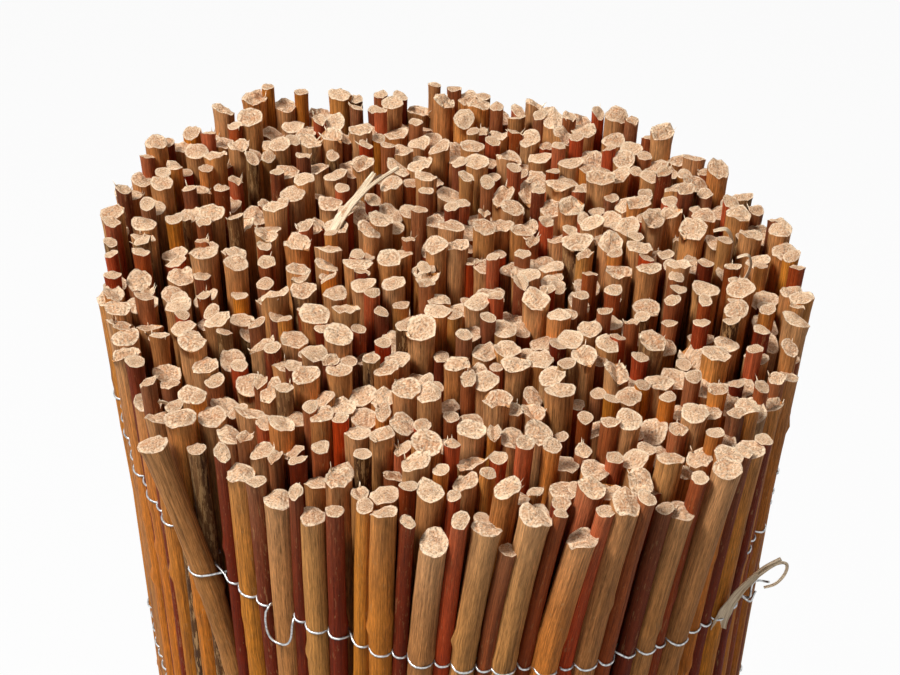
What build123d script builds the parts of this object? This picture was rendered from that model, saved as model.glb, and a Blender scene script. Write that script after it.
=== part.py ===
"""A roll of willow screening, standing on end.

Willow rods, each thicker at its butt than at its tip, lie side by side with butts and tips
turned about, and rows of galvanised wire bind them into a long mat. The mat is wound up
into a spiral, which bulges to one side where it is wound more loosely. Each rod is its own
solid, and the rods of one turn share a file.
"""

from build123d import *
import os
from math import acos, atan, cos, degrees, exp, pi, radians, sin, tan
from random import Random
from typing import NamedTuple

# Sizes of the mat, in millimetres
rod_length = 990.0
rod_length_spread = 8.0
butt_diameter_least = 7.6
butt_diameter_most = 10.0
tip_share_least = 0.48
tip_share_most = 0.64
rod_gap = 0.3

# How the mat is wound up, with bearings in degrees from +X
turn_count = 11.1
eye_radius = 9.0
free_end_bearing = -45.0
bulge_share = 0.2
bulge_bearing = 140.0
bulge_half_width = 32.0

# How the rods stand in the roll
foot_unevenness = 7.0
standing_share = 0.3
radial_play = 0.7
cut_slant_least = 3.0
cut_slant_most = 26.0
cut_below_top = 0.3
turned_about_share = 0.8
proud_rod_bearing = 124.0
proud_rod_lift = 18.0

# The rows of wire
wire_diameter = 0.9
wire_clearance = 0.3
wire_row_count = 8
wire_row_inset = 74.0
wire_row_tilt = 7.0
wire_chord_angle = 15.0
wire_start_angle = 7.0

# How finely the rods are made
rod_sides = 6
rod_grade_count = 24
spiral_passes = 6
slope_step = 0.01
seed = 14

turn_pitch = butt_diameter_most + wire_diameter + wire_clearance
mat_height = rod_length + rod_length_spread
full_turn = 2 * pi

# A rod's corners point along the mat, so it reaches across the mat by less than its radius
reach_share = max(sin(full_turn * corner / rod_sides) for corner in range(rod_sides))
mat_reach = butt_diameter_most / 2 * reach_share


def bearing_of(angle):
    """Bearing of a place on the mat, in radians, from the angle wound up to there."""
    return angle - turn_count * full_turn + radians(free_end_bearing)


def middle_radius(angle):
    """Distance of the mat's middle from the winding axis."""
    half_turn = 180
    off = degrees(bearing_of(angle)) - bulge_bearing
    off = (off + half_turn) % (2 * half_turn) - half_turn
    bulge = bulge_share * exp(-((off / bulge_half_width) ** 2))
    return (eye_radius + turn_pitch * angle / full_turn) * (1 + bulge)


def middle_point(angle):
    """A point on the mat's middle."""
    radius = middle_radius(angle)
    bearing = bearing_of(angle)
    return Vector(radius * cos(bearing), radius * sin(bearing))


def outward_bearing(angle):
    """Bearing of the mat's outer side, which faces away from the axis but for its slope."""
    growth = middle_radius(angle + slope_step) - middle_radius(angle - slope_step)
    return bearing_of(angle) - atan(growth / (2 * slope_step) / middle_radius(angle))


def tapered_blank(butt, tip, length):
    """A straight rod with its butt on the ground and its tip up."""
    with BuildPart() as blank:
        with BuildSketch():
            RegularPolygon(butt / 2, rod_sides)
        flat_to_axis = cos(pi / rod_sides)
        slope = (butt - tip) / 2 * flat_to_axis / length
        extrude(amount=length, taper=degrees(atan(slope)))
    return blank.part


def willow_rod(butt, tip, length, butt_up, slant):
    """A rod standing on a square foot, with its upper end cut at a slant."""
    blank = tapered_blank(butt, tip, length)
    if butt_up:
        blank = blank.rotate(Axis.X, 180).moved(Location((0, 0, length)))
    upper_diameter = butt if butt_up else tip
    cut_drop = upper_diameter / 2 * tan(radians(slant)) + cut_below_top
    cut = Plane(
        origin=(0, 0, length - cut_drop),
        z_dir=(sin(radians(slant)), 0, cos(radians(slant))),
    )
    with BuildPart() as rod:
        add(blank)
        split(bisect_by=cut, keep=Keep.BOTTOM)
    return rod.part


class Grade:
    """One size of rod, made once and placed many times."""

    def __init__(self, draw, butt_up):
        self.butt = draw.uniform(butt_diameter_least, butt_diameter_most)
        self.tip = self.butt * draw.uniform(tip_share_least, tip_share_most)
        self.length = rod_length + draw.uniform(-1, 1) * rod_length_spread
        self.butt_up = butt_up
        slant = draw.uniform(cut_slant_least, cut_slant_most)
        self.solid = willow_rod(self.butt, self.tip, self.length, butt_up, slant)

    @property
    def lower(self):
        """Diameter at the foot."""
        return self.tip if self.butt_up else self.butt

    @property
    def upper(self):
        """Diameter at the upper end."""
        return self.butt if self.butt_up else self.tip


class LaidRod(NamedTuple):
    """A rod's place in the roll."""

    grade: Grade
    angle: float
    offset: float
    foot: float

    @property
    def radius(self):
        """Distance of the rod from the winding axis."""
        return middle_radius(self.angle) + self.offset

    def reach_at(self, height):
        """How far out the rod reaches from the mat's middle at one height."""
        share = (height - self.foot) / self.grade.length
        diameter = self.grade.lower + share * (self.grade.upper - self.grade.lower)
        return self.offset + diameter / 2 * reach_share


def spacing(one, other, turned):
    """Distance between the axes of two neighbours, set by the end where they are thickest.

    Round a bend they face each other beside their corners, and so they stand closer.
    """
    lower = (one.lower + other.lower) / 2
    upper = (one.upper + other.upper) / 2
    half_side = pi / rod_sides
    corner_share = cos(half_side) / cos(half_side - turned / 2)
    return max(lower, upper) * corner_share + rod_gap


def next_angle(last, grade, offset):
    """Where the next rod stands on the spiral, beside the last."""
    turned = 0.0
    for _ in range(spiral_passes):
        step = spacing(last.grade, grade, turned)
        radius = middle_radius(last.angle + turned) + offset
        squares = last.radius**2 + radius**2 - step**2
        turned = acos(squares / (2 * last.radius * radius))
    return last.angle + turned


# The rods, from the eye of the roll outwards, with one that has slipped up in the wires
draw = Random(seed)
butt_up_grades = [Grade(draw, True) for _ in range(rod_grade_count // 2)]
butt_down_grades = [Grade(draw, False) for _ in range(rod_grade_count // 2)]

turns = {}
proud_rod_angle = turn_count * full_turn - radians((free_end_bearing - proud_rod_bearing) % 360)
last = None
butt_up = False
angle = 0.0
while angle < turn_count * full_turn:
    turn = 1 + int(angle / full_turn)
    if turn not in turns:
        turns[turn] = []
        draw = Random(seed + turn)
    if draw.random() < turned_about_share:
        butt_up = not butt_up
    grade = draw.choice(butt_up_grades if butt_up else butt_down_grades)
    room = min(radial_play, mat_reach - grade.butt / 2 * reach_share)
    offset = draw.uniform(-1, 1) * room
    stands = draw.random() < standing_share
    lift = 0 if stands else draw.uniform(0, foot_unevenness)
    foot = min(lift, mat_height - grade.length)
    corner = draw.randrange(rod_sides)
    if last is not None:
        angle = next_angle(last, grade, offset)
        if last.angle < proud_rod_angle <= angle:
            foot += proud_rod_lift
    last = LaidRod(grade, angle, offset, foot)
    bearing = bearing_of(angle)
    facing = degrees(outward_bearing(angle) + full_turn / 4 + full_turn * corner / rod_sides)
    place = Location(
        (last.radius * cos(bearing), last.radius * sin(bearing), foot),
        (0, 0, facing),
    )
    turns[turn].append((last, grade.solid.moved(place)))

parts = {
    f"rods_turn_{turn:02d}": Compound([solid for _, solid in rods])
    for turn, rods in turns.items()
}


# The rows of wire, which show round the outermost turn
free_end = last.angle
outermost = [
    laid_rod
    for rods in turns.values()
    for laid_rod, _ in rods
    if laid_rod.angle > free_end - full_turn
]


def run_sag(angle, step):
    """How far the mat's middle bends away from one straight run of wire."""
    run_middle = (middle_point(angle - step / 2) + middle_point(angle + step / 2)) / 2
    return (middle_point(angle) - run_middle).length


def strand_corners(out_from_middle):
    """Corners of one side of a strand, which follows the mat's middle at a distance."""
    start = free_end - full_turn + radians(wire_start_angle)
    runs = round((free_end - start) / radians(wire_chord_angle))
    step = (free_end - start) / runs
    corners = []
    for run in range(runs + 1):
        at = start + run * step
        sag = max(run_sag(at - step / 2, step), run_sag(at + step / 2, step))
        outward = outward_bearing(at)
        out = Vector(cos(outward), sin(outward)) * (out_from_middle + sag)
        corners.append(middle_point(at) + out)
    return corners


def wire_row(height):
    """A strand drawn round the outermost turn in short straight runs, one side held higher."""
    seat = max(rod.reach_at(height) for rod in outermost) + wire_clearance
    stretch = cos(radians(wire_row_tilt))
    row_plane = Plane(
        origin=(0, 0, height),
        x_dir=(stretch, 0, -sin(radians(wire_row_tilt))),
        z_dir=(sin(radians(wire_row_tilt)), 0, stretch),
    )
    inner_side = [(corner.X / stretch, corner.Y) for corner in strand_corners(seat)]
    outer_side = [
        (corner.X / stretch, corner.Y) for corner in strand_corners(seat + wire_diameter)
    ]
    with BuildPart() as row:
        with BuildSketch(row_plane.offset(-wire_diameter / 2)):
            with BuildLine():
                Polyline(*inner_side, *reversed(outer_side), close=True)
            make_face()
        extrude(amount=wire_diameter)
    return row.part


row_step = (mat_height - 2 * wire_row_inset) / (wire_row_count - 1)
for row in range(wire_row_count):
    height = mat_height - wire_row_inset - row * row_step
    parts[f"wire_row_{row + 1}"] = wire_row(height)

# The footprint is centred on the origin
middle = Compound(list(parts.values())).bounding_box().center()
to_origin = Location((-middle.X, -middle.Y, 0))

os.makedirs("parts", exist_ok=True)
for name, part in parts.items():
    part = part.moved(to_origin)
    part.label = name
    export_step(part, f"parts/{name}.step")
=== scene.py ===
"""Looks for a roll of willow screening: the bark and sheared ends of every rod, the twisted wire
that binds them, and the torn bast and loose peel that such rods carry."""

import logging
import math
from dataclasses import dataclass, field
from enum import Enum
from random import Random
from typing import Any, Iterable

import bmesh
import bpy
from mathutils import Matrix, Vector, noise


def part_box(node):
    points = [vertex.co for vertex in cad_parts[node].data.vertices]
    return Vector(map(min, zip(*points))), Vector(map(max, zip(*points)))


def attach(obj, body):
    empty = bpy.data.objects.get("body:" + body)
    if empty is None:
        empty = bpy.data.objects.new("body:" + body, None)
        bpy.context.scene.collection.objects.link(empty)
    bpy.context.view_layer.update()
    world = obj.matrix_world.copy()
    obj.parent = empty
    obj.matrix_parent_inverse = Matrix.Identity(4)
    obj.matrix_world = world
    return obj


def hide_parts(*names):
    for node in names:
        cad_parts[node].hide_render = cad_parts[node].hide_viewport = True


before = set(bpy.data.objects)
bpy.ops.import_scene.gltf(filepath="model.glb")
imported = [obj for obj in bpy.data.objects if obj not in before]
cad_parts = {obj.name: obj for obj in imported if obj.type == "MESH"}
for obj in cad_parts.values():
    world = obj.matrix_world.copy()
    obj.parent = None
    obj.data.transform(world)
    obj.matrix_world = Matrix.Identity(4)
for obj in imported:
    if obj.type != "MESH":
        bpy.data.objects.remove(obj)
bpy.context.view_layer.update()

MILLIMETRE = 0.001
LOG = logging.getLogger("willow_roll")

Colour = tuple[float, float, float, float]


def linear(red: int, green: int, blue: int) -> Colour:
    """Turns a display colour into the scene's linear one.

    Args:
        red: Red from 0 to 255.
        green: Green from 0 to 255.
        blue: Blue from 0 to 255.

    Returns:
        The linear colour with an alpha of 1.
    """
    shares = (channel / 255 for channel in (red, green, blue))
    channels = [s / 12.92 if s <= 0.04045 else ((s + 0.055) / 1.055) ** 2.4 for s in shares]
    return (channels[0], channels[1], channels[2], 1.0)


class Bark(Enum):
    """The barks that the rods of one roll show."""

    OCHRE = (196, 116, 34)
    TAN = (184, 122, 64)
    BROWN_RED = (146, 64, 22)
    ORANGE_RED = (174, 56, 14)
    DARK_RED = (112, 34, 8)
    MOTTLED = (96, 62, 30)


class RodEnd(Enum):
    """How the shears left a rod's upper end."""

    CLEAN = "clean"
    PINCHED = "pinched"
    SPLIT = "split"
    TORN = "torn"


# Bearings of the rods round the front of the roll, in degrees, by the bark that they show there
FRONT_BARKS: dict[Bark, tuple[float, ...]] = {
    Bark.OCHRE: (-148.8, -142.6, -135.6, -122.4, -102.7, -99.7, -75.6, -49.7, -44.1),
    Bark.TAN: (-128.8, -115.8, -110.0, -93.8, -87.8, -81.7, -69.2, -59.1, -53.3),
    Bark.BROWN_RED: (-84.9, -78.6, -66.0, -56.3),
    Bark.ORANGE_RED: (-90.7, -72.4),
    Bark.DARK_RED: (-151.8, -145.7, -125.7, -119.1, -112.8, -106.8, -96.8, -62.1, -47.0, -40.9),
    Bark.MOTTLED: (-139.2, -132.1),
}


# Shader building


class Signal:
    """A node's output that can be used in Python expressions."""

    def __init__(self, tree: bpy.types.NodeTree, socket: bpy.types.NodeSocket) -> None:
        """Keeps the tree and the socket."""
        self.tree = tree
        self.socket = socket

    def _join(self, operation: str, first: Any, second: Any) -> "Signal":
        """Adds one Math node.

        Args:
            operation: The Math node's operation.
            first: A signal or a number.
            second: A signal or a number.

        Returns:
            The result as a new signal.
        """
        node = self.tree.nodes.new("ShaderNodeMath")
        node.operation = operation
        for slot_number, term in enumerate((first, second)):
            if isinstance(term, Signal):
                self.tree.links.new(term.socket, node.inputs[slot_number])
            else:
                node.inputs[slot_number].default_value = term
        return Signal(self.tree, node.outputs[0])

    def __add__(self, other: Any) -> "Signal":
        """Sum."""
        return self._join("ADD", self, other)

    __radd__ = __add__

    def __sub__(self, other: Any) -> "Signal":
        """Difference."""
        return self._join("SUBTRACT", self, other)

    def __rsub__(self, other: Any) -> "Signal":
        """Difference from a number."""
        return self._join("SUBTRACT", other, self)

    def __mul__(self, other: Any) -> "Signal":
        """Product."""
        return self._join("MULTIPLY", self, other)

    __rmul__ = __mul__

    def __truediv__(self, other: Any) -> "Signal":
        """Quotient."""
        return self._join("DIVIDE", self, other)

    def above(self, edge: float, softness: float) -> "Signal":
        """A mask that rises from 0 to 1 over softness from edge on."""
        return ((self - edge) / softness).held()

    def at_least(self, floor: float) -> "Signal":
        """The signal kept from falling below a value."""
        return self._join("MAXIMUM", self, floor)

    def held(self) -> "Signal":
        """The signal kept between 0 and 1."""
        return self._join("MINIMUM", self.at_least(0.0), 1.0)


class Dye:
    """A material under construction, with one Principled shader."""

    def __init__(self, name: str, **constants: Any) -> None:
        """Starts a material.

        Args:
            name: The material's name.
            constants: Values of the shader's own sockets, with underscores for spaces.
        """
        self.material = bpy.data.materials.new(name)
        self.material.use_nodes = True
        self.tree = self.material.node_tree
        self.tree.nodes.clear()
        self.shader = self.node("ShaderNodeBsdfPrincipled")
        self.output = self.node("ShaderNodeOutputMaterial")
        self.feed(self.output.inputs[0], self.shader.outputs[0])
        self.paint(**constants)

    def node(self, kind: str, settings: dict[str, Any] | None = None,
             inputs: dict[Any, Any] | None = None) -> bpy.types.Node:
        """Adds a node.

        Args:
            kind: The node's type.
            settings: Its own settings, which are set first.
            inputs: Values or links of its sockets.

        Returns:
            The node.
        """
        node = self.tree.nodes.new(kind)
        for key, value in (settings or {}).items():
            setattr(node, key, value)
        for key, value in (inputs or {}).items():
            self.feed(node.inputs[key], value)
        return node

    def feed(self, socket: bpy.types.NodeSocket, value: Any) -> None:
        """Links an output to a socket, or sets a value on it.

        Args:
            socket: The socket.
            value: A signal, an output or a value.
        """
        if isinstance(value, Signal):
            self.tree.links.new(value.socket, socket)
        elif isinstance(value, bpy.types.NodeSocket):
            self.tree.links.new(value, socket)
        else:
            socket.default_value = value

    def signal(self, socket: bpy.types.NodeSocket) -> Signal:
        """Wraps an output for use in expressions."""
        return Signal(self.tree, socket)

    def attribute(self, name: str) -> bpy.types.Node:
        """Reads a mesh attribute."""
        return self.node("ShaderNodeAttribute", {"attribute_name": name})

    def mixed(self, share: Any, first: Any, second: Any, blend: str = "MIX") -> Any:
        """Mixes two colours.

        Args:
            share: How much of the second shows.
            first: A colour or its output.
            second: A colour or its output.
            blend: The way of mixing.

        Returns:
            The colour's output.
        """
        made = self.node("ShaderNodeMix", {"data_type": "RGBA", "blend_type": blend},
                         {0: share, 6: first, 7: second})
        return made.outputs[2]

    def relief(self, height: Signal, depth: float, strength: float) -> None:
        """Gives the shader a bump.

        Args:
            height: The relief, from 0 to about 1.
            depth: How deep it is, in metres.
            strength: How much of it shows.
        """
        made = self.node("ShaderNodeBump", None,
                         {"Height": height, "Distance": depth, "Strength": strength})
        self.feed(self.shader.inputs["Normal"], made.outputs[0])

    def paint(self, **inputs: Any) -> bpy.types.Material:
        """Feeds sockets of the shader.

        Args:
            inputs: Links or values of its sockets, with underscores for spaces.

        Returns:
            The material.
        """
        for key, value in inputs.items():
            self.feed(self.shader.inputs[key.replace("_", " ")], value)
        return self.material


@dataclass(frozen=True)
class Grain:
    """Noise in a finish: how fine it is across and along, its detail and its roughness."""

    across: float
    along: float
    detail: float
    roughness: float

    def over(self, dye: Dye, place: Any, shift: Any) -> Signal:
        """Lays the noise over a material.

        Args:
            dye: The material under construction.
            place: The output of the coordinates.
            shift: A vector or its output, by which the noise is moved.

        Returns:
            The noise, from 0 to 1.
        """
        scale = (self.across, self.across, self.along)
        moved = dye.node("ShaderNodeVectorMath", {"operation": "MULTIPLY_ADD"},
                         {0: place, 1: scale, 2: shift})
        made = dye.node("ShaderNodeTexNoise", None,
                        {"Vector": moved.outputs[0], "Scale": 1.0, "Detail": self.detail,
                         "Roughness": self.roughness})
        return dye.signal(made.outputs["Fac"])


class RodDye(Dye):
    """A material laid out on each rod: in rod radii across, and in metres down from its cut."""

    shift_scale: tuple[float, float, float] = (37.0, 53.0, 71.0)

    def __init__(self, name: str, **constants: Any) -> None:
        """Starts a material and reads the attributes that every finish of a rod needs.

        Args:
            name: The material's name.
            constants: Values of the shader's own sockets, with underscores for spaces.
        """
        super().__init__(name, **constants)
        draw = self.attribute("draw").outputs["Fac"]
        combined = self.node("ShaderNodeCombineXYZ", None, {0: draw, 1: draw, 2: draw})
        shift = self.node("ShaderNodeVectorMath", {"operation": "MULTIPLY"},
                          {0: combined.outputs[0], 1: self.shift_scale})
        self.place = self.attribute("section").outputs["Vector"]
        self.draw = self.signal(draw)
        self.shift = shift.outputs[0]

    def grain(self, pattern: Grain) -> Signal:
        """Lays noise along the rod, moved by an amount of the rod's own."""
        return pattern.over(self, self.place, self.shift)


@dataclass(frozen=True)
class BarkFinish:
    """Thin willow bark: fine lengthwise streaks, dark patches, pale flakes and small pores."""

    streak: Grain = Grain(6.5, 26.0, 5.0, 0.7)
    fibre: Grain = Grain(15.0, 210.0, 3.0, 0.65)
    patch: Grain = Grain(1.2, 22.0, 3.0, 0.6)
    flake: Grain = Grain(2.8, 130.0, 4.0, 0.7)
    pore: Grain = Grain(3.4, 330.0, 1.0, 0.5)
    dark: Colour = linear(48, 27, 20)
    pale: Colour = linear(188, 146, 96)
    streak_contrast: float = 2.3
    fibre_contrast: float = 2.0
    least_lightness: float = 0.16
    relief_depth: float = 0.6 * MILLIMETRE

    def material(self) -> bpy.types.Material:
        """Builds the bark.

        Returns:
            The material.
        """
        dye = RodDye("willow_bark", Specular_IOR_Level=0.08)
        bark = dye.attribute("bark").outputs["Color"]
        flaky = dye.signal(dye.attribute("flaky").outputs["Fac"])
        streaks = dye.grain(self.streak)
        fibres = dye.grain(self.fibre)
        patches = dye.grain(self.patch)
        flakes = dye.grain(self.flake)
        pores = dye.grain(self.pore)
        lightness = 1.0 + (streaks - 0.5) * self.streak_contrast
        lightness = (lightness + (fibres - 0.5) * self.fibre_contrast).at_least(self.least_lightness)
        shade = dye.node("ShaderNodeCombineXYZ", None,
                         {0: lightness, 1: lightness, 2: lightness})
        colour = dye.mixed(1.0, bark, shade.outputs[0], "MULTIPLY")
        dark_share = patches.above(0.52, 0.2) * (0.22 + flaky * 0.6 + dye.draw * 0.25).held()
        colour = dye.mixed(dark_share, colour, self.dark)
        pale_share = flakes.above(0.62 - flaky * 0.1, 0.06) * (0.14 + flaky * 0.66)
        colour = dye.mixed(pale_share, colour, self.pale)
        colour = dye.mixed(pores.above(0.7, 0.08) * 0.3, colour, self.pale)
        relief = streaks * 0.5 + fibres * 0.35 + flakes * flaky * 0.8
        dye.relief(relief, self.relief_depth, 0.85)
        return dye.paint(Base_Color=colour, Roughness=0.5 + fibres * 0.3)


@dataclass(frozen=True)
class CutFinish:
    """Sheared end grain: pale fibrous wood, torn in places, with fine dark checks, a pith, and
    painted highlights in bright flecks and just inside the rim.
    """

    fleck: Grain = Grain(8.5, 600.0, 3.0, 0.7)
    glint: Grain = Grain(6.5, 400.0, 4.0, 0.7)
    stain: Grain = Grain(1.0, 90.0, 2.0, 0.5)
    wood: Colour = linear(234, 194, 154)
    # Bright cream that paints highlights on the cut: flecks where the glint noise is high, and a
    # band inside the rim
    painted_highlight: Colour = linear(255, 236, 204)
    aged: Colour = linear(188, 132, 90)
    check: Colour = linear(112, 68, 40)
    rim: Colour = linear(186, 126, 86)
    relief_depth: float = 0.5 * MILLIMETRE

    def material(self) -> bpy.types.Material:
        """Builds the end grain.

        Returns:
            The material.
        """
        dye = RodDye("willow_end_grain", Specular_IOR_Level=0.2)
        flat = dye.node("ShaderNodeVectorMath", {"operation": "MULTIPLY"},
                        {0: dye.place, 1: (1.0, 1.0, 0.0)})
        length = dye.node("ShaderNodeVectorMath", {"operation": "LENGTH"}, {0: flat.outputs[0]})
        out = dye.signal(length.outputs["Value"])
        flecks = dye.grain(self.fleck)
        glints = dye.grain(self.glint)
        stains = dye.grain(self.stain)
        aged = (dye.draw * 0.55 + stains.above(0.38, 0.25) * 0.5).held()
        colour = dye.mixed(aged, self.wood, self.aged)
        for share, coat in (
            # Darker towards the middle of the cut
            ((1.0 - out.above(0.1, 0.6)) * 0.35, self.aged),
            # Painted highlight: bright cream flecks where the glint noise is high
            (glints.above(0.44, 0.2) * 0.65, self.painted_highlight),
            # Painted highlight: a bright cream band just inside the rim of the cut
            (out.above(0.76, 0.12) * 0.4, self.painted_highlight),
            (flecks.above(0.56, 0.1) * 0.7, self.check),
            (out.above(0.95, 0.05) * 0.6, self.rim),
            ((1.0 - out.above(0.03, 0.08)) * 0.6, self.check),
        ):
            colour = dye.mixed(share, colour, coat)
        dye.relief(glints * 0.6 - flecks.above(0.5, 0.15) * 0.8, self.relief_depth, 0.8)
        return dye.paint(Base_Color=colour, Roughness=0.8 + glints * 0.15)


@dataclass(frozen=True)
class ZincFinish:
    """Thin galvanised wire with a dull, slightly blotched coat."""

    zinc: Colour = linear(206, 207, 206)
    dull: Colour = linear(140, 142, 144)
    blotch: Grain = Grain(900.0, 900.0, 2.0, 0.5)

    def material(self) -> bpy.types.Material:
        """Builds the zinc.

        Returns:
            The material.
        """
        dye = Dye("galvanised_zinc", Metallic=0.9)
        place = dye.node("ShaderNodeTexCoord").outputs["Object"]
        blotches = self.blotch.over(dye, place, (0.0, 0.0, 0.0))
        colour = dye.mixed(blotches.above(0.4, 0.3), self.zinc, self.dull)
        return dye.paint(Base_Color=colour, Roughness=0.26 + blotches * 0.24)


@dataclass(frozen=True)
class BastFinish:
    """Torn inner bark: pale, with lengthwise brown fibres."""

    pale: Colour = linear(244, 222, 190)
    brown: Colour = linear(168, 126, 88)
    fibre: Grain = Grain(7.0, 60.0, 4.0, 0.65)
    relief_depth: float = 0.4 * MILLIMETRE

    def material(self) -> bpy.types.Material:
        """Builds the bast.

        Returns:
            The material.
        """
        dye = RodDye("willow_bast", Specular_IOR_Level=0.2)
        fibres = dye.grain(self.fibre)
        colour = dye.mixed(fibres.above(0.46, 0.2), self.pale, self.brown)
        dye.relief(fibres, self.relief_depth, 0.8)
        return dye.paint(Base_Color=colour, Roughness=0.7 + fibres * 0.2)


# The roll as the frame gives it


@dataclass
class Rod:
    """One rod of the mat, measured on its solid."""

    foot: Vector
    head: Vector
    foot_radius: float
    head_radius: float
    cut_normal: Vector
    depth: float = 0.0
    bent: "BentRod | None" = None

    @property
    def length(self) -> float:
        """From the foot to the middle of the cut."""
        return self.head.z - self.foot.z

    @property
    def bearing(self) -> float:
        """Direction of the rod from the roll's axis, in radians from +X."""
        return math.atan2(self.foot.y, self.foot.x)

    @property
    def distance(self) -> float:
        """How far the rod stands from the roll's axis."""
        return math.hypot(self.foot.x, self.foot.y)

    @property
    def outward(self) -> Vector:
        """Level direction away from the roll's axis."""
        return Vector((self.foot.x, self.foot.y, 0)).normalized()

    @property
    def along(self) -> Vector:
        """Level direction along the mat."""
        return Vector((-self.outward.y, self.outward.x, 0))

    def radius_at(self, height: float) -> float:
        """The rod's radius at a height above its foot."""
        share = min(max(height / self.length, 0.0), 1.0)
        return self.foot_radius + (self.head_radius - self.foot_radius) * share


@dataclass
class MeasuredRoll:
    """The rods and rows of wire of the roll, read from the frame's solids."""

    rod_prefix: str = "rods_turn_"
    wire_prefix: str = "wire_row_"
    weld: float = 0.01 * MILLIMETRE
    corner_apart: float = 0.8 * MILLIMETRE
    turns: dict[int, list[Rod]] = field(default_factory=dict)

    def __post_init__(self) -> None:
        """Reads every turn, and how deep each rod stands in the roll."""
        for name in sorted(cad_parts):
            if name.startswith(self.rod_prefix):
                self.turns[int(name[len(self.rod_prefix):])] = self.read_turn(name)
        outermost = self.outermost()
        for rod in self.rods:
            facing = max(outermost, key=lambda other: math.cos(other.bearing - rod.bearing))
            rod.depth = max(facing.distance - rod.distance, 0.0)

    @property
    def rods(self) -> list[Rod]:
        """Every rod, turn by turn."""
        return [rod for turn in self.turns.values() for rod in turn]

    @property
    def last_turn(self) -> int:
        """Number of the turn that ends at the mat's free end."""
        return max(self.turns)

    def read_turn(self, name: str) -> list[Rod]:
        """Measures the rods of one turn.

        Args:
            name: The node that holds them.

        Returns:
            The rods, in no special order.
        """
        bm = bmesh.new()
        bm.from_mesh(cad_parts[name].data)
        bmesh.ops.remove_doubles(bm, verts=bm.verts, dist=self.weld)
        rods = [self.measure(group) for group in self.islands(bm)]
        bm.free()
        return rods

    @staticmethod
    def islands(bm: bmesh.types.BMesh) -> list[list[bmesh.types.BMVert]]:
        """Finds the vertices that belong together.

        Args:
            bm: The bmesh of one turn.

        Returns:
            The connected groups of its vertices.
        """
        seen: set[bmesh.types.BMVert] = set()
        groups = []
        for start in bm.verts:
            if start in seen:
                continue
            seen.add(start)
            group, edge_of_search = [start], [start]
            while edge_of_search:
                for edge in edge_of_search.pop().link_edges:
                    for vert in edge.verts:
                        if vert not in seen:
                            seen.add(vert)
                            group.append(vert)
                            edge_of_search.append(vert)
            groups.append(group)
        return groups

    def measure(self, group: list[bmesh.types.BMVert]) -> Rod:
        """Measures one rod.

        Args:
            group: Its corners.

        Returns:
            The rod.
        """
        corners = [vert.co.copy() for vert in group]
        middle = sum((corner.z for corner in corners), 0.0) / len(corners)
        lower = self.apart(corner for corner in corners if corner.z < middle)
        upper = self.apart(corner for corner in corners if corner.z > middle)
        foot = sum(lower, Vector()) / len(lower)
        head = sum(upper, Vector()) / len(upper)
        slope = head - min(upper, key=lambda corner: corner.z)
        level = Vector((slope.x, slope.y, 0))
        tilt = math.atan2(slope.z, level.length)
        normal = Vector((0, 0, 1)) * math.cos(tilt) - level.normalized() * math.sin(tilt)
        reaches = [math.hypot(corner.x - head.x, corner.y - head.y) for corner in upper]
        foot_radius = (lower[0] - foot).length
        return Rod(foot, head, foot_radius, sum(reaches) / len(reaches), normal)

    def apart(self, corners: Iterable[Vector]) -> list[Vector]:
        """Drops the corners that lie almost on another.

        Args:
            corners: The corners of one end.

        Returns:
            Those that stand apart.
        """
        kept: list[Vector] = []
        for corner in corners:
            if all((corner - other).length > self.corner_apart for other in kept):
                kept.append(corner)
        return kept

    def outermost(self) -> list[Rod]:
        """Finds the rods that show round the outside.

        Returns:
            The rods in the mat's order, up to its free end.
        """
        last = sorted(self.turns[self.last_turn], key=lambda rod: rod.bearing)
        gaps = [
            ((rod.bearing - last[place - 1].bearing) % math.tau, place)
            for place, rod in enumerate(last)
        ]
        start = max(gaps)[1]
        last = last[start:] + last[:start]
        first_bearing = last[0].bearing
        span = (last[-1].bearing - first_bearing) % math.tau
        before = [
            rod for rod in self.turns[self.last_turn - 1]
            if (rod.bearing - first_bearing) % math.tau > span
        ]
        before.sort(key=lambda rod: (rod.bearing - first_bearing) % math.tau)
        return before + last


# How the rods stand apart from the straight solids


@dataclass(frozen=True)
class Lean:
    """A stretch of the mat whose upper ends bend over, most at one bearing and at the outside."""

    bearing: float
    before: float
    after: float
    depth: float
    along: float
    outward: float

    def share(self, rod: Rod) -> float:
        """Weighs the lean at a rod.

        Args:
            rod: The rod.

        Returns:
            How much of the lean it has.
        """
        off = math.degrees(rod.bearing) - self.bearing
        off /= self.before if off < 0 else self.after
        return math.exp(-off * off) * max(0.0, 1.0 - rod.depth / self.depth)


@dataclass(frozen=True)
class Looks:
    """What was drawn for one rod: its bark, its end and its small bends."""

    bark: Colour
    # Bark near the cut: partly weathered, partly a painted highlight on the upper sides
    crown: Colour
    end: RodEnd
    draw: float
    flaky: float
    along: float
    outward: float
    pinch: float
    pinch_angle: float
    knots: tuple[tuple[float, float, float], ...]


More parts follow.
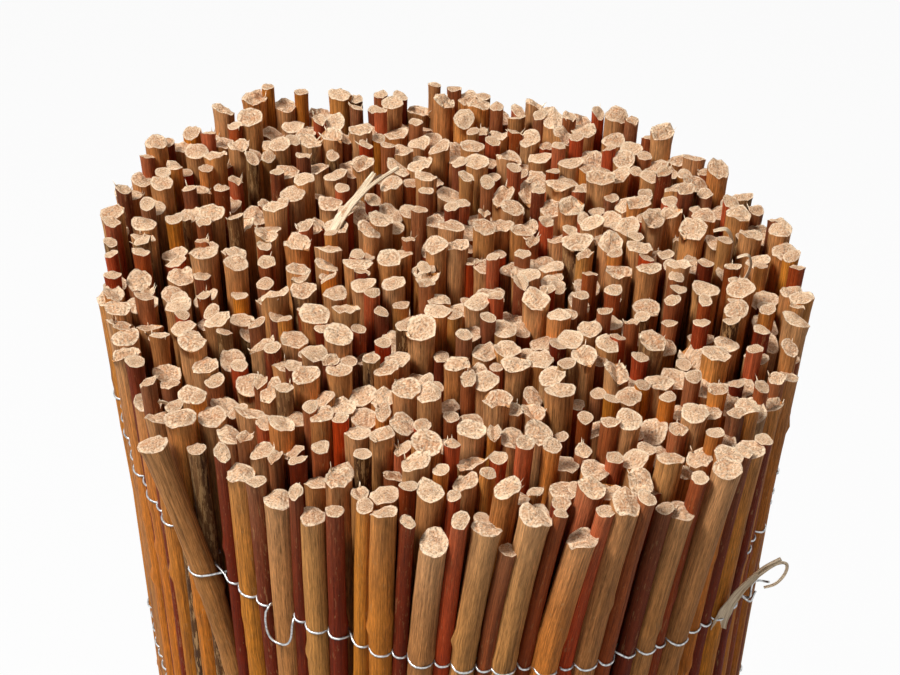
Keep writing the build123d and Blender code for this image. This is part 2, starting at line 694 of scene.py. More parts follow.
@dataclass
class Thicket:
    """Draws the looks of the rods, and how they bend above the top row of wire."""

    top_wire: float
    seed: int = 5
    thick_end: float = 3.4 * MILLIMETRE
    stray_along: float = 0.3 * MILLIMETRE
    stray_outward: float = 0.6 * MILLIMETRE
    splay: float = 0.018
    bearing_slack: float = 1.0
    # Paler tone of the rods' upper sides near the cut: partly weathered bark, partly a painted
    # highlight where more light reaches the tops
    weathered_and_lit: Colour = linear(204, 152, 104)
    knot_spans: tuple[tuple[float, float], ...] = ((0.04, 0.86), (0.86, 0.96))
    knot_sizes: tuple[float, float] = (0.15, 0.42)
    leans: tuple[Lean, ...] = (
        Lean(bearing=-76.0, before=22.0, after=34.0, depth=0.05, along=0.0115, outward=0.003),
        Lean(bearing=-53.3, before=2.0, after=2.0, depth=0.002, along=0.003, outward=0.004),
        Lean(bearing=-128.8, before=0.8, after=0.8, depth=0.002, along=-0.016, outward=0.012),
    )
    thick_barks: tuple[tuple[Bark, float], ...] = (
        (Bark.OCHRE, 0.48), (Bark.TAN, 0.46), (Bark.BROWN_RED, 0.03), (Bark.MOTTLED, 0.03),
    )
    thin_barks: tuple[tuple[Bark, float], ...] = (
        (Bark.OCHRE, 0.16), (Bark.TAN, 0.08), (Bark.BROWN_RED, 0.28), (Bark.ORANGE_RED, 0.24),
        (Bark.DARK_RED, 0.18), (Bark.MOTTLED, 0.06),
    )
    ends: tuple[tuple[RodEnd, float], ...] = (
        (RodEnd.CLEAN, 0.3), (RodEnd.PINCHED, 0.42), (RodEnd.SPLIT, 0.1), (RodEnd.TORN, 0.18),
    )

    def __post_init__(self) -> None:
        """Starts the draws and the noise, which would otherwise differ from run to run."""
        self.random = Random(self.seed)
        noise.seed_set(self.seed)

    def pick(self, choices: tuple[tuple[Any, float], ...]) -> Any:
        """Draws one of several weighted choices."""
        options, weights = zip(*choices)
        return self.random.choices(options, weights)[0]

    def colour(self, bark: Bark, seen: bool) -> Colour:
        """Draws a rod's own shade of its bark.

        Args:
            bark: The bark.
            seen: Whether the rod is at the roll's seen front, where the shades differ less.

        Returns:
            The colour.
        """
        level = self.random.uniform(0.85, 1.08) if seen else self.random.uniform(0.72, 1.2)
        warmth = self.random.uniform(-0.1, 0.08)
        base = linear(*bark.value)
        return (base[0] * level, base[1] * level * (1 + warmth), base[2] * level, 1.0)

    def seen_bark(self, rod: Rod) -> Bark | None:
        """Looks a rod up among those of the roll's front.

        Args:
            rod: The rod.

        Returns:
            The bark that the photograph shows on it, if it is one of them.
        """
        own = math.degrees(rod.bearing)
        for bark, bearings in FRONT_BARKS.items():
            near = any(abs(own - bearing) < self.bearing_slack for bearing in bearings)
            if rod.depth == 0 and near:
                return bark
        return None

    def looks(self, rod: Rod, knot_count: int) -> Looks:
        """Draws the looks of one rod.

        Args:
            rod: The rod.
            knot_count: How many knots it has.

        Returns:
            Its looks.
        """
        thick = rod.head_radius > self.thick_end
        seen = self.seen_bark(rod)
        bark = seen or self.pick(self.thick_barks if thick else self.thin_barks)
        colour = self.colour(bark, seen is not None)
        # Share of the paler crown, larger on thick rods: partly weathering, partly a painted
        # highlight on the upper sides
        fade = self.random.uniform(0.3, 0.9) if thick else self.random.uniform(0.0, 0.35)
        crown = tuple(own + (grey - own) * fade for own, grey in zip(colour, self.weathered_and_lit))
        along = self.random.gauss(0, 1) * self.stray_along
        outward = self.random.gauss(0, 1) * self.stray_outward
        outward += rod.distance * self.splay
        for each in self.leans:
            along += each.along * each.share(rod)
            outward += each.outward * each.share(rod)
        knots = tuple(
            (self.random.uniform(*self.knot_spans[number % 2]), self.random.uniform(0, math.tau),
             self.random.uniform(*self.knot_sizes))
            for number in range(knot_count)
        )
        flaky = self.random.uniform(0.0, 0.6 if bark is Bark.DARK_RED else 0.3)
        return Looks(
            bark=colour, crown=crown, end=self.pick(self.ends), draw=self.random.random(),
            flaky=1.0 if bark is Bark.MOTTLED else flaky, along=along, outward=outward,
            pinch=self.random.uniform(0.03, 0.16),
            pinch_angle=rod.bearing + self.random.gauss(0, 0.7),
            knots=tuple(sorted(knots)),
        )


# Making objects


def placed(name: str, data: bpy.types.ID) -> bpy.types.Object:
    """Puts a mesh, a curve, a lamp or a camera into the scene at the origin.

    Args:
        name: The object's name.
        data: What it holds.

    Returns:
        The object.
    """
    holder = bpy.data.objects.new(name, data)
    bpy.context.collection.objects.link(holder)
    return holder


def face_rank(face: bmesh.types.BMFace) -> float:
    """Ranks a face of a small bmesh by its corners.

    Args:
        face: The face.

    Returns:
        A number that no other face has.
    """
    numbers = [vert.index for vert in face.verts]
    return (min(numbers) * 1000.0 + max(numbers)) * 10000.0 + sum(numbers)


def sort_faces(bm: bmesh.types.BMesh) -> None:
    """Puts the faces in a fixed order, as extruding and thickening leave them in none."""
    bm.verts.index_update()
    bm.faces.sort(key=face_rank)


def mesh_from(name: str, bm: bmesh.types.BMesh) -> bpy.types.Mesh:
    """Turns a finished bmesh into a mesh.

    Args:
        name: The mesh's name.
        bm: The bmesh, which is freed.

    Returns:
        The mesh.
    """
    mesh = bpy.data.meshes.new(name)
    bm.to_mesh(mesh)
    bm.free()
    return mesh


def smooth_piece(mesh: bpy.types.Mesh, material: bpy.types.Material) -> bpy.types.Object:
    """Makes a smooth piece of one material.

    Args:
        mesh: The finished mesh, which has the piece's name.
        material: Its material.

    Returns:
        The piece.
    """
    mesh.materials.append(material)
    for polygon in mesh.polygons:
        polygon.use_smooth = True
    return placed(mesh.name, mesh)


# The rods


@dataclass
class Stem:
    """A tube of rings between a foot and a cut end, made once and bent to each rod."""

    name: str
    sides: int
    steps: int
    face_rings: tuple[float, ...]

    def mesh(self) -> bpy.types.Mesh:
        """Makes the tube with unit radius, one unit high for each step.

        Returns:
            The mesh, whose first material is bark and whose second is cut wood.
        """
        bm = bmesh.new()
        bmesh.ops.create_circle(bm, cap_ends=True, segments=self.sides, radius=1.0)
        foot = bm.faces[:][0]
        bmesh.ops.reverse_faces(bm, faces=[foot])
        ring = foot.edges[:]
        for _ in range(self.steps):
            made = bmesh.ops.extrude_edge_only(bm, edges=ring)["geom"]
            moved = [item for item in made if isinstance(item, bmesh.types.BMVert)]
            bmesh.ops.translate(bm, verts=moved, vec=(0, 0, 1))
            ring = [item for item in made if isinstance(item, bmesh.types.BMEdge)
                    and all(vert in moved for vert in item.verts)]
        head = bmesh.ops.contextual_create(bm, geom=ring)["faces"][0]
        foot.material_index = 1
        self.end_rings(bm, head)
        bmesh.ops.recalc_face_normals(bm, faces=bm.faces[:])
        for face in bm.faces:
            face.smooth = face.material_index == 0
        for edge in bm.edges:
            edge.smooth = len({face.material_index for face in edge.link_faces}) == 1
        sort_faces(bm)
        return mesh_from(self.name, bm)

    def end_rings(self, bm: bmesh.types.BMesh, cap: bmesh.types.BMFace) -> None:
        """Sets rings into an end face, down to its pith.

        Args:
            bm: The tube.
            cap: The end face.
        """
        reached = 1.0
        cap.material_index = 1
        for ring in self.face_rings:
            made = bmesh.ops.inset_individual(bm, faces=[cap], thickness=0.0)["faces"]
            centre = Matrix.Translation((0, 0, cap.calc_center_median().z))
            bmesh.ops.scale(bm, verts=cap.verts[:], vec=(ring / reached, ring / reached, 1),
                            space=centre.inverted())
            reached = ring
            for face in made:
                face.material_index = 1
        for face in bmesh.ops.poke(bm, faces=[cap])["faces"]:
            face.material_index = 1


@dataclass
class BentRod:
    """One rod's stem, with its taper, bends, knots and ends."""

    rod: Rod
    looks: Looks
    steps: int
    top_wire: float
    crook: float
    fullness: float = 1.03
    thin_fullness: float = 0.45
    full_radius: float = 5.0 * MILLIMETRE
    lean_below_wire: float = 50.0 * MILLIMETRE
    along_curve: float = 1.5
    outward_curve: float = 1.1
    lip: float = 0.07
    lip_depth: float = 1.6 * MILLIMETRE
    pinch_depth: float = 8.0 * MILLIMETRE
    slant_depth: float = 13.0 * MILLIMETRE
    # How far down from the cut the paler crown (weathering and painted highlight) reaches
    crown_depth: float = 32.0 * MILLIMETRE
    knot_half: float = 5.0 * MILLIMETRE
    knot_reach: float = 1.5
    knot_fall: float = 2.2
    knot_collar: float = 0.25
    knot_clear: float = 12.0 * MILLIMETRE
    ridge_size: float = 1.6
    ridge_depth: float = 0.07
    burr_size: float = 4.1
    burr_depth: float = 0.09
    cut_unevenness: float = 0.34
    end_rings: tuple[float, ...] = (100.0, 30.0, 6.0, 1.2, 0.0)

    def __post_init__(self) -> None:
        """Lays out the heights of the rings."""
        length = self.rod.length
        high = [length - ring * MILLIMETRE for ring in self.end_rings]
        near = []
        for share, _, _ in self.looks.knots:
            at = share * length
            near += [at - self.knot_half, at, at + self.knot_half]
        free = [height for height in near if 0 < height < length - self.knot_clear]
        wanted = self.steps - len(high) - len(free)
        even = [high[0] * (k + 1) / (wanted + 1) for k in range(wanted)]
        self.heights = sorted([0.0] + free + even + high)

    def middle(self, height: float) -> Vector:
        """Finds the rod's middle, with its lean and small bends.

        Args:
            height: Height above the rod's foot.

        Returns:
            The middle there.
        """
        start = self.top_wire - self.lean_below_wire
        above = max((self.rod.foot.z + height - start) / (self.rod.head.z - start), 0.0)
        bend = self.rod.along * self.looks.along * above**self.along_curve
        bend += self.rod.outward * self.looks.outward * above**self.outward_curve
        seed = Vector((self.looks.draw * 90, height * 7.0, self.rod.bearing * 9))
        wander = noise.noise_vector(seed)
        bend += Vector((wander.x, wander.y, 0)) * self.crook
        return self.rod.foot + bend + Vector((0, 0, height))

    def girth(self, angle: float, height: float) -> float:
        """Finds how much wider the rod is than its plain taper.

        Args:
            angle: The side of the rod, in radians from +X.
            height: Height above the rod's foot.

        Returns:
            The factor.
        """
        thinness = 1 - self.rod.head_radius / self.full_radius
        wide = self.fullness + self.thin_fullness * max(thinness, 0.0)
        for share, side, size in self.looks.knots:
            off = abs(height - share * self.rod.length) / self.knot_half
            if off < self.knot_reach:
                facing = max(0.0, math.cos(angle - side))
                swelling = self.knot_collar + (1 - self.knot_collar) * facing**3
                wide += size * math.exp(-self.knot_fall * off * off) * swelling
        below = self.rod.length - height
        if self.looks.end is not RodEnd.CLEAN:
            squeeze = self.looks.pinch * math.exp(-below / self.pinch_depth)
            wide *= 1 + squeeze * math.cos(2 * (angle - self.looks.pinch_angle))
        return wide * (1 + self.lip * math.exp(-below / self.lip_depth))

    def reach(self, angle: float, height: float) -> float:
        """The rod's radius at a height and side."""
        return self.rod.radius_at(height) * self.girth(angle, height)

    def point(self, spot: Vector) -> tuple[Vector, Vector, Colour]:
        """Takes a point of the plain stem to its place.

        Args:
            spot: The point on the unit stem.

        Returns:
            The place, the point's own coordinates on the rod, and the bark there.
        """
        looks = self.looks
        height = self.heights[round(spot.z)]
        below = self.rod.length - height
        across = math.hypot(spot.x, spot.y)
        angle = math.atan2(spot.y, spot.x)
        reach = self.reach(angle, height) * across
        ridges = noise.noise(Vector((spot.x * self.ridge_size, spot.y * self.ridge_size,
                                     looks.draw * 60 - below * 90)))
        burrs = noise.noise(Vector((spot.x * self.burr_size, spot.y * self.burr_size,
                                    looks.draw * 50 + 7)))
        near_cut = math.exp(-below / self.lip_depth)
        reach *= 1 + self.ridge_depth * ridges + self.burr_depth * burrs * near_cut
        level = Vector((math.cos(angle) * reach, math.sin(angle) * reach, 0))
        place = self.middle(height) + level
        if below == 0:
            place.z += self.cut_height(level, across, angle)
        elif below < self.slant_depth:
            place.z += self.slant(level) * (1 - below / self.slant_depth)
        own = Vector((math.cos(angle) * across, math.sin(angle) * across, -below))
        # The bark pales towards the cut: partly weathering, partly a painted highlight on the upper
        # sides
        fade = math.exp(-below / self.crown_depth)
        bark = tuple(low + (high - low) * fade for low, high in zip(looks.bark, looks.crown))
        return place, own, bark

    def slant(self, level: Vector) -> float:
        """How far the cut plane lies above or below its middle."""
        normal = self.rod.cut_normal
        return -(normal.x * level.x + normal.y * level.y) / normal.z

    def cut_height(self, level: Vector, across: float, angle: float) -> float:
        """Finds the height of a point of the cut over the middle of the cut.

        Args:
            level: The point's level distance from the rod's middle.
            across: Its distance in rod radii.
            angle: Its direction.

        Returns:
            The height.
        """
        radius = self.rod.head_radius
        along = across * math.cos(angle - self.looks.pinch_angle)
        beside = across * math.sin(angle - self.looks.pinch_angle)
        seed = Vector((along * 1.9, beside * 1.9, self.looks.draw * 80))
        height = self.slant(level) + noise.noise(seed) * self.cut_unevenness * radius
        if self.looks.end is RodEnd.CLEAN:
            return height - (1 - across) * 0.08 * radius
        if self.looks.end is RodEnd.SPLIT:
            return height - max(0.0, 0.36 - abs(beside)) * 2.0 * radius
        if self.looks.end is RodEnd.TORN:
            share = min(max((beside + 0.15) / 0.3, 0.0), 1.0)
            return height + (share - 0.5) * 0.55 * radius + abs(along) * 0.12 * radius
        return height - abs(beside) * 0.3 * radius + 0.1 * radius


@dataclass
class RodTurn:
    """The rods of one turn of the mat, in one piece."""

    turn: int
    rods: list[Rod]
    stem: Stem
    knots: int
    crook: float

    def build(self, thicket: Thicket, materials: list[bpy.types.Material]) -> bpy.types.Object:
        """Makes the piece.

        Args:
            thicket: The draws.
            materials: Bark and end grain.

        Returns:
            The piece.
        """
        plain = self.stem.mesh()
        bm = bmesh.new()
        place = bm.verts.layers.float_vector.new("section")
        bark = bm.verts.layers.float_color.new("bark")
        draw = bm.verts.layers.float.new("draw")
        flaky = bm.verts.layers.float.new("flaky")
        for rod in self.rods:
            looks = thicket.looks(rod, self.knots)
            rod.bent = BentRod(rod, looks, self.stem.steps, thicket.top_wire, self.crook)
            start = len(bm.verts)
            bm.from_mesh(plain)
            bm.verts.ensure_lookup_table()
            for vert in bm.verts[start:]:
                vert.co, vert[place], vert[bark] = rod.bent.point(vert.co)
                vert[draw] = looks.draw
                vert[flaky] = looks.flaky
        mesh = mesh_from(f"willow_rods_turn_{self.turn:02d}", bm)
        bpy.data.meshes.remove(plain)
        for material in materials:
            mesh.materials.append(material)
        return placed(mesh.name, mesh)


# The wire


@dataclass(frozen=True)
class RowPlane:
    """The slanting plane of one row of wire, measured on its solid."""

    height: float
    rise: float

    @classmethod
    def measured(cls, name: str) -> "RowPlane":
        """Fits the plane to a row's corners.

        Args:
            name: The row's node.

        Returns:
            The plane, with its height at the origin and its rise towards +X.
        """
        corners = [vert.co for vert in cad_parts[name].data.vertices]
        mean_x = sum(corner.x for corner in corners) / len(corners)
        mean_z = sum(corner.z for corner in corners) / len(corners)
        spread = sum((corner.x - mean_x) ** 2 for corner in corners)
        shared = sum((corner.x - mean_x) * (corner.z - mean_z) for corner in corners)
        return cls(mean_z - mean_x * shared / spread, shared / spread)

    def at(self, place: Vector) -> float:
        """Height of the plane over a place."""
        return self.height + place.x * self.rise


@dataclass
class WireRow:
    """Two thin strands, twisted between one rod and the next along the outside of the roll."""

    name: str
    plane: RowPlane
    rods: list[Rod]
    strand: float = 0.45 * MILLIMETRE
    clearance: float = 0.15 * MILLIMETRE
    side_angle: float = 52.0
    face_angle: float = 18.0
    rise: float = 0.7 * MILLIMETRE
    dip: float = 0.5 * MILLIMETRE
    loop_bearing: float | None = None
    loop_drop: float = 14.0 * MILLIMETRE
    loop_half_width: float = 5.6 * MILLIMETRE
    loop_stand: float = 1.2 * MILLIMETRE
    tail: float = 9.0 * MILLIMETRE
    tail_angle: float = 78.0
    tail_curls: float = 1.4
    tail_radius: float = 1.7 * MILLIMETRE
    tail_steps: int = 28

    def around(self, rod: Rod, angle: float, outside: bool, lift: float) -> Vector:
        """Finds a point of a strand beside a rod.

        Args:
            rod: The rod.
            angle: Degrees along the mat from the strand's middle on that rod.
            outside: Whether the strand passes outside it.
            lift: Height above the row.

        Returns:
            The point.
        """
        height = self.plane.at(rod.foot) + lift - rod.foot.z
        turn = rod.bearing + math.radians(angle if outside else 180 - angle)
        reach = rod.bent.reach(turn, height) + self.strand + self.clearance
        return rod.bent.middle(height) + Vector((math.cos(turn), math.sin(turn), 0)) * reach

    def strand_points(self, first_outside: bool) -> list[Vector]:
        """Lays one strand along the row.

        Args:
            first_outside: Whether it passes outside the first rod.

        Returns:
            Its points.
        """
        points: list[Vector] = []
        looped = self.looped_rod()
        for number, rod in enumerate(self.rods):
            outside = (number % 2 == 0) == first_outside
            if number == looped and outside:
                points += self.loop(rod)
                continue
            lift = self.rise if outside else -self.rise
            for angle, height in (
                (-self.side_angle, lift), (-self.face_angle, -self.dip),
                (self.face_angle, -self.dip), (self.side_angle, -lift),
            ):
                points.append(self.around(rod, angle, outside, height))
        return points + self.tail_points(first_outside)

    def looped_rod(self) -> int:
        """Finds the rod that carries the loose loop.

        Returns:
            Its number, or -1.
        """
        if self.loop_bearing is None:
            return -1
        wanted = math.radians(self.loop_bearing)
        return min(range(len(self.rods)), key=lambda n: abs(self.rods[n].bearing - wanted))

    def loop(self, rod: Rod) -> list[Vector]:
        """Lays a slack bight that hangs down in front of a rod.

        Args:
            rod: The rod.

        Returns:
            Its points.
        """
        points = []
        for degrees in range(-90, 91, 20):
            turn = math.radians(degrees)
            beside = math.copysign(abs(math.sin(turn)) ** 0.7, degrees)
            drop = self.loop_drop * max(math.cos(turn), 0.0) ** 0.6
            height = self.plane.at(rod.foot) - drop - rod.foot.z
            reach = rod.bent.reach(rod.bearing, height) + self.strand + self.clearance
            stand = reach + self.loop_stand * math.cos(turn)
            points.append(rod.bent.middle(height) + rod.outward * stand
                          + rod.along * beside * self.loop_half_width)
        return points

    def tail_points(self, first_outside: bool) -> list[Vector]:
        """Curls the end of a strand past the last rod.

        Args:
            first_outside: Whether it is the strand that passes outside the first rod.

        Returns:
            The tail's points.
        """
        rod = self.rods[-1]
        start = self.around(rod, self.tail_angle, True, 0.0)
        rise, long, curls = (0.55, 1.0, 1.0) if first_outside else (0.1, 0.6, -0.7)
        direction = (rod.along * 0.5 + rod.outward * 0.35 + Vector((0, 0, rise))).normalized()
        side = direction.cross(rod.outward).normalized()
        over = side.cross(direction)
        points = []
        for step in range(1, self.tail_steps + 1):
            share = step / self.tail_steps
            turn = math.tau * curls * self.tail_curls * share
            radius = self.tail_radius * min(share * 4, 1.0)
            ring = over * (1 - math.cos(turn)) + side * math.sin(turn)
            points.append(start + direction * self.tail * long * share + ring * radius)
        return points

    def build(self, material: bpy.types.Material) -> bpy.types.Object:
        """Makes the row as one mesh.

        Args:
            material: The wire's material.

        Returns:
            The piece.
        """
        curve = bpy.data.curves.new(self.name, "CURVE")
        curve.dimensions = "3D"
        curve.bevel_depth = self.strand
        curve.bevel_resolution = 1
        curve.use_fill_caps = True
        curve.resolution_u = 2
        for first_outside in (True, False):
            points = self.strand_points(first_outside)
            spline = curve.splines.new("NURBS")
            spline.points.add(len(points) - 1)
            for point, place in zip(spline.points, points):
                point.co = (*place, 1)
            spline.order_u = 3
            spline.use_endpoint_u = True
        holder = placed(f"{self.name}_line", curve)
        bpy.context.view_layer.update()
        graph = bpy.context.evaluated_depsgraph_get()
        mesh = bpy.data.meshes.new_from_object(holder.evaluated_get(graph))
        mesh.name = self.name
        mesh.materials.clear()
        bpy.data.objects.remove(holder)
        bpy.data.curves.remove(curve)
        return smooth_piece(mesh, material)


# Torn bast, peel and splinters


@dataclass(frozen=True)
class Strip:
    """A torn strip of bark or wood, with its lengths in millimetres.

    It starts at the rod nearest to rod_at, from the middle of the cut or from the rod's outside
    at the top row of wire, and follows the steps of its run from there.
    """

    name: str
    rod_at: tuple[float, float]
    from_head: bool
    run: tuple[tuple[float, float, float], ...]
    width: float
    thickness: float
    twist: float
    facing: tuple[float, float, float] = (0.2, -0.9, 0.35)
    fray: float = 0.25
    cup: float = 0.3
    narrow_end: float = 0.2
    draw: float = 0.4
    steps: int = 24
    steps_across: int = 3

    def line(self, roll: MeasuredRoll, row: RowPlane) -> list[Vector]:
        """Lays the run of the strip.

        Args:
            roll: The measured roll.
            row: The top row of wire.

        Returns:
            The points of its middle line.
        """
        wanted = Vector((*self.rod_at, 0)) * MILLIMETRE
        rod = min(roll.rods, key=lambda each: (each.foot - wanted).xy.length)
        height = rod.length if self.from_head else row.at(rod.foot) - rod.foot.z
        start = rod.bent.middle(height)
        if not self.from_head:
            start += rod.outward * rod.bent.reach(rod.bearing, height)
        return [start + Vector(step) * MILLIMETRE for step in self.run]

    @staticmethod
    def along(line: list[Vector], share: float) -> Vector:
        """Finds a point of a smooth line.

        Args:
            line: The points that the line passes through.
            share: How far along it, from 0 to 1.

        Returns:
            The point.
        """
        at = share * (len(line) - 1)
        number = min(int(at), len(line) - 2)
        t = at - number
        before = line[max(number - 1, 0)]
        after = line[min(number + 2, len(line) - 1)]
        here, there = line[number], line[number + 1]
        return 0.5 * (2 * here + (there - before) * t
                      + (2 * before - 5 * here + 4 * there - after) * t * t
                      + (3 * here - before - 3 * there + after) * t * t * t)

    def build(self, roll: MeasuredRoll, row: RowPlane,
              material: bpy.types.Material) -> bpy.types.Object:
        """Makes the strip as a closed mesh.

        Args:
            roll: The measured roll.
            row: The top row of wire.
            material: The strip's material.

        Returns:
            The piece.
        """
        line = self.line(roll, row)
        full_width = self.width * MILLIMETRE
        bm = bmesh.new()
        bmesh.ops.create_grid(bm, x_segments=self.steps_across, y_segments=self.steps, size=0.5)
        place = bm.verts.layers.float_vector.new("section")
        draw = bm.verts.layers.float.new("draw")
        for vert in bm.verts:
            share = vert.co.y + 0.5
            across = vert.co.x
            ahead = self.along(line, min(share + 0.02, 1.0))
            behind = self.along(line, max(share - 0.02, 0.0))
            forward = (ahead - behind).normalized()
            side = forward.cross(Vector(self.facing)).normalized()
            side.rotate(Matrix.Rotation(self.twist * share, 3, forward))
            taper = (1 - share) ** 0.6 * (1 - self.narrow_end) + self.narrow_end
            rough = noise.noise(Vector((share * 9, across * 3, self.draw * 40)))
            width = full_width * taper * (1 + self.fray * rough)
            hollow = forward.cross(side) * (0.5 - across * across * 2) * full_width * self.cup
            vert[place] = Vector((across * 2, 0.4, share * 0.04))
            vert[draw] = self.draw
            vert.co = self.along(line, share) + side * across * width + hollow
        bmesh.ops.recalc_face_normals(bm, faces=bm.faces[:])
        bmesh.ops.solidify(bm, geom=bm.faces[:], thickness=self.thickness * MILLIMETRE)
        sort_faces(bm)
        return smooth_piece(mesh_from(self.name, bm), material)


STRIPS = (
    Strip(
        name="torn_bast", rod_at=(93.0, -94.0), from_head=False,
        run=((-1, -1, -6), (0, -2, 3), (2, -3, 12), (6, -3, 20), (12, -1, 26), (18, 1, 29)),
        width=6.5, thickness=0.5, twist=0.7,
    ),
    Strip(
        name="bast_curl", rod_at=(93.0, -94.0), from_head=False,
        run=((10, -2, 24), (16, 0, 28), (20, 1, 27), (20, 1, 22), (17, 0, 18), (13, 0, 16)),
        width=1.2, thickness=0.4, twist=0.6,
    ),
    Strip(
        name="splinter_wide", rod_at=(-43.4, 29.1), from_head=True,
        run=((-2, -5, 0.4), (2, 5, 3), (8, 17, 4), (14, 30, 6)),
        width=3.6, thickness=0.8, twist=0.5, facing=(0.0, 0.1, 1.0),
    ),
    Strip(
        name="splinter_thin", rod_at=(-43.4, 29.1), from_head=True,
        run=((0, -3, 0.3), (6, 8, 5), (14, 19, 8), (24, 28, 10)),
        width=1.5, thickness=0.7, twist=0.9, facing=(0.0, 0.1, 1.0),
    ),
    Strip(
        name="peel_high", rod_at=(105.6, 27.5), from_head=True,
        run=((4, -2, -22), (5, -3, -8), (5, -3, 3), (2, -4, 9), (-3, -4, 8)),
        width=2.4, thickness=0.4, twist=0.7,
    ),
    Strip(
        name="peel_low", rod_at=(112.0, 8.0), from_head=True,
        run=((3, -3, -20), (4, -4, -7), (6, -5, 4), (4, -6, 10), (0, -5, 8)),
        width=2.0, thickness=0.4, twist=1.1,
    ),
    Strip(
        name="peel_left", rod_at=(-96.0, -62.0), from_head=True,
        run=((-2, -4, -26), (-3, -5, -10), (-4, -6, 2), (-7, -7, 7), (-11, -7, 5)),
        width=2.2, thickness=0.4, twist=-0.8,
    ),
)


@dataclass
class TornFibres:
    """Short splinters that stand up round the torn and split ends."""

    rods: list[Rod]
    seed: int = 11
    most: int = 3
    longest: float = 4.2 * MILLIMETRE
    thickest: float = 0.5 * MILLIMETRE
    corners: int = 4
    rim_share: float = 0.9
    sunk_share: float = 0.3

    def build(self, material: bpy.types.Material) -> bpy.types.Object:
        """Makes all the splinters as one piece.

        Args:
            material: Their material.

        Returns:
            The piece.
        """
        random = Random(self.seed)
        bm = bmesh.new()
        place = bm.verts.layers.float_vector.new("section")
        draw = bm.verts.layers.float.new("draw")
        for rod in self.rods:
            if rod.bent.looks.end in (RodEnd.CLEAN, RodEnd.PINCHED):
                continue
            for _ in range(random.randint(1, self.most)):
                angle = random.uniform(0, math.tau)
                long = self.longest * random.uniform(0.4, 1.0)
                out = Vector((math.cos(angle), math.sin(angle), 0))
                reach = rod.bent.reach(angle, rod.length) * self.rim_share
                rim = rod.bent.middle(rod.length) + out * reach
                rim.z += rod.bent.slant(out * reach)
                axis = out * random.uniform(0.0, 0.9) + Vector((0, 0, 1))
                turn = axis.to_track_quat("Z", "X").to_matrix().to_4x4()
                at = Matrix.Translation(rim + axis.normalized() * long * self.sunk_share) @ turn
                made = bmesh.ops.create_cone(
                    bm, cap_ends=True, segments=self.corners, radius2=0.0, depth=long,
                    radius1=self.thickest * random.uniform(0.5, 1.0), matrix=at,
                )
                for vert in made["verts"]:
                    vert[place] = Vector((0.6, 0.3, (vert.co.z - rim.z)))
                    vert[draw] = rod.bent.looks.draw
        return smooth_piece(mesh_from("torn_fibres", bm), material)


# Stage, light and camera


@dataclass(frozen=True)
class Lamp:
    """A soft square lamp that shines at the middle of the roll's upper end."""

    name: str
    x: float
    y: float
    above: float
    size: float
    power: float

    def hang(self, top: float) -> None:
        """Adds the lamp.

        Args:
            top: Height of the plane of the rods' upper ends.
        """
        data = bpy.data.lights.new(self.name, "AREA")
        data.size = self.size
        data.energy = self.power
        holder = placed(self.name, data)
        holder.location = (self.x, self.y, top + self.above)
        away = Vector((self.x, self.y, top + self.above)) - Vector((0, 0, top))
        holder.rotation_euler = away.to_track_quat("Z", "Y").to_euler()


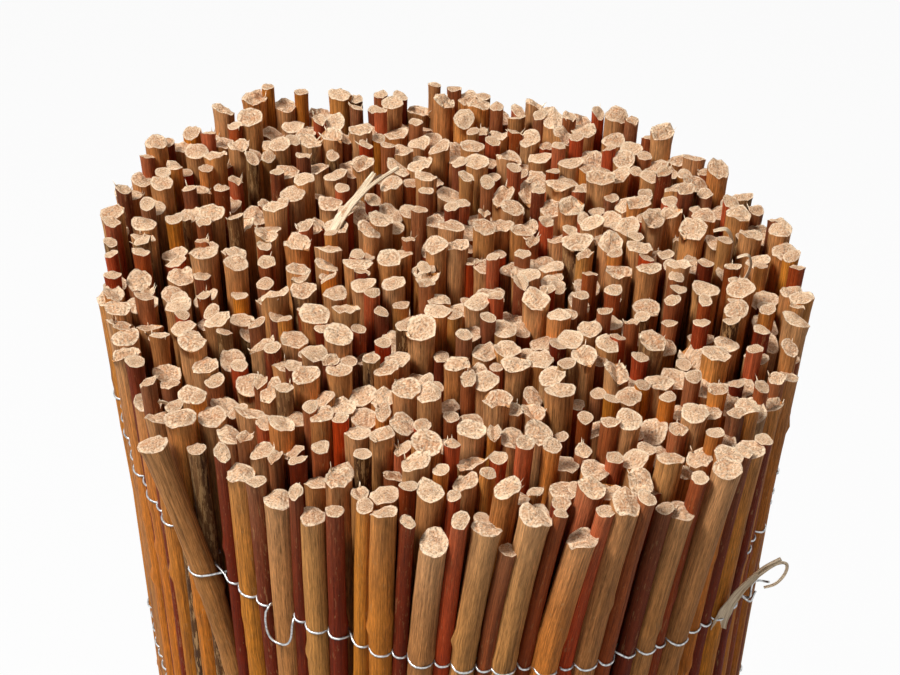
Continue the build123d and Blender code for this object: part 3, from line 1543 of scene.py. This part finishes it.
@dataclass(frozen=True)
class Studio:
    """Plain pale floor, soft light and a camera at the photograph's viewing angle."""

    lens: float = 70.8
    sensor: float = 36.0
    sight: float = 100.0
    distance: float = 690.0 * MILLIMETRE
    aim_x: float = 1.2 * MILLIMETRE
    aim_y: float = -5.8 * MILLIMETRE
    elevation: float = 38.97
    roll: float = 0.99
    below_top: float = 24.8 * MILLIMETRE
    floor_size: float = 30.0
    floor_white: float = 0.92
    world_light: float = 0.12
    lamps: tuple[Lamp, ...] = (
        Lamp("key", x=-1.05, y=-0.7, above=2.0, size=0.6, power=70.0),
        Lamp("fill", x=0.6, y=-1.9, above=0.8, size=1.6, power=3.0),
        Lamp("back", x=0.2, y=1.6, above=1.5, size=1.2, power=22.0),
    )

    def camera(self, top: float) -> None:
        """Places the camera.

        Args:
            top: Height of the plane of the rods' upper ends.
        """
        data = bpy.data.cameras.new("view")
        data.lens = self.lens
        data.sensor_width = self.sensor
        data.clip_end = self.sight
        holder = placed("view", data)
        elevation, roll = math.radians(self.elevation), math.radians(self.roll)
        back = Vector((0, -math.cos(elevation), math.sin(elevation)))
        right = Vector((1, 0, 0))
        up = back.cross(right)
        turned_right = right * math.cos(roll) + up * math.sin(roll)
        turned_up = up * math.cos(roll) - right * math.sin(roll)
        aim = Vector((self.aim_x, self.aim_y, top - self.below_top))
        axes = Matrix((turned_right, turned_up, back)).transposed().to_4x4()
        holder.matrix_world = Matrix.Translation(aim + back * self.distance) @ axes
        bpy.context.scene.camera = holder

    def plain_rays(self, tree: bpy.types.NodeTree) -> Signal:
        """Masks the rays that see the background: camera, glossy and transmission.

        Args:
            tree: The nodes of a material or of the world.

        Returns:
            1 for those rays and 0 for the others.
        """
        path = tree.nodes.new("ShaderNodeLightPath")
        kinds = ("Is Camera Ray", "Is Glossy Ray", "Is Transmission Ray")
        camera, glossy, through = (Signal(tree, path.outputs[kind]) for kind in kinds)
        return (camera + glossy + through).held()

    def world(self) -> None:
        """Sets up a white surround that lights the object softly."""
        world = bpy.data.worlds.new("surround")
        bpy.context.scene.world = world
        world.use_nodes = True
        tree = world.node_tree
        background = tree.nodes["Background"]
        background.inputs["Color"].default_value = (1, 1, 1, 1)
        strength = self.plain_rays(tree) * (1 - self.world_light) + self.world_light
        tree.links.new(strength.socket, background.inputs["Strength"])

    def floor(self) -> None:
        """Lays a level floor that looks white and keeps a trace of the shadow."""
        bm = bmesh.new()
        bmesh.ops.create_grid(bm, x_segments=1, y_segments=1, size=self.floor_size / 2)
        dye = Dye("pale_floor", Base_Color=(0.86, 0.86, 0.86, 1.0), Roughness=0.9)
        white = dye.node("ShaderNodeEmission", None, {0: (1, 1, 1, 1), 1: 1.0})
        share = self.plain_rays(dye.tree) * self.floor_white
        mixed = dye.node("ShaderNodeMixShader", None,
                         {0: share, 1: dye.shader.outputs[0], 2: white.outputs[0]})
        dye.feed(dye.output.inputs[0], mixed.outputs[0])
        smooth_piece(mesh_from("floor", bm), dye.material)

    def set_up(self, top: float) -> None:
        """Builds the whole stage.

        Args:
            top: Height of the plane of the rods' upper ends.
        """
        self.camera(top)
        self.world()
        self.floor()
        for lamp in self.lamps:
            lamp.hang(top)
        bpy.context.scene.view_settings.view_transform = "Standard"


# Building and attaching the pieces


def hand_over(piece: bpy.types.Object, node: str | None = None) -> None:
    """Hides the node that a finished piece replaces, attaches the piece to the root body, and logs
    it.

    Args:
        piece: The piece.
        node: The node that it replaces, if it replaces one.
    """
    if node:
        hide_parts(node)
    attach(piece, "root")
    LOG.info("%s: %d faces", piece.name, len(piece.data.polygons))


def dress_rods(roll: MeasuredRoll, top_wire: float) -> None:
    """Builds every turn of rods.

    Args:
        roll: The measured roll.
        top_wire: Height of the top row of wire.
    """
    materials = [BarkFinish().material(), CutFinish().material()]
    thicket = Thicket(top_wire)
    inner_stem = Stem("inner_stem", sides=14, steps=5, face_rings=(0.5,))
    outer_stem = Stem("outer_stem", sides=16, steps=30, face_rings=(0.86, 0.5))
    for turn, rods in sorted(roll.turns.items()):
        outer = turn >= roll.last_turn - 1
        made = RodTurn(
            turn=turn, rods=rods, stem=outer_stem if outer else inner_stem,
            knots=5 if outer else 0, crook=(0.5 if outer else 0.3) * MILLIMETRE,
        )
        hand_over(made.build(thicket, materials), f"{roll.rod_prefix}{turn:02d}")


def dress_wires(roll: MeasuredRoll) -> None:
    """Builds every row of wire.

    Args:
        roll: The measured roll.
    """
    zinc = ZincFinish().material()
    outermost = roll.outermost()
    names = sorted(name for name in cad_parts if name.startswith(roll.wire_prefix))
    for name in names:
        row = WireRow(f"twisted_{name}", RowPlane.measured(name), outermost)
        if name == names[0]:
            row.loop_bearing = -115.8
            row.tail = 14.0 * MILLIMETRE
        hand_over(row.build(zinc), name)


def dress_tears(roll: MeasuredRoll) -> None:
    """Builds the torn strips, the splinters and the fibres at the ends.

    Args:
        roll: The measured roll.
    """
    bast = BastFinish().material()
    row = RowPlane.measured(f"{roll.wire_prefix}1")
    for strip in STRIPS:
        hand_over(strip.build(roll, row, bast))
    hand_over(TornFibres(roll.rods).build(bast))


def main() -> None:
    """Builds the roll's looks, the stage and the camera."""
    logging.basicConfig(level=logging.INFO)
    roll = MeasuredRoll()
    low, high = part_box(f"{roll.wire_prefix}1")
    top_wire = (low[2] + high[2]) / 2
    dress_rods(roll, top_wire)
    dress_wires(roll)
    dress_tears(roll)
    Studio().set_up(top_wire + 67 * MILLIMETRE)


if __name__ == "__main__":
    main()
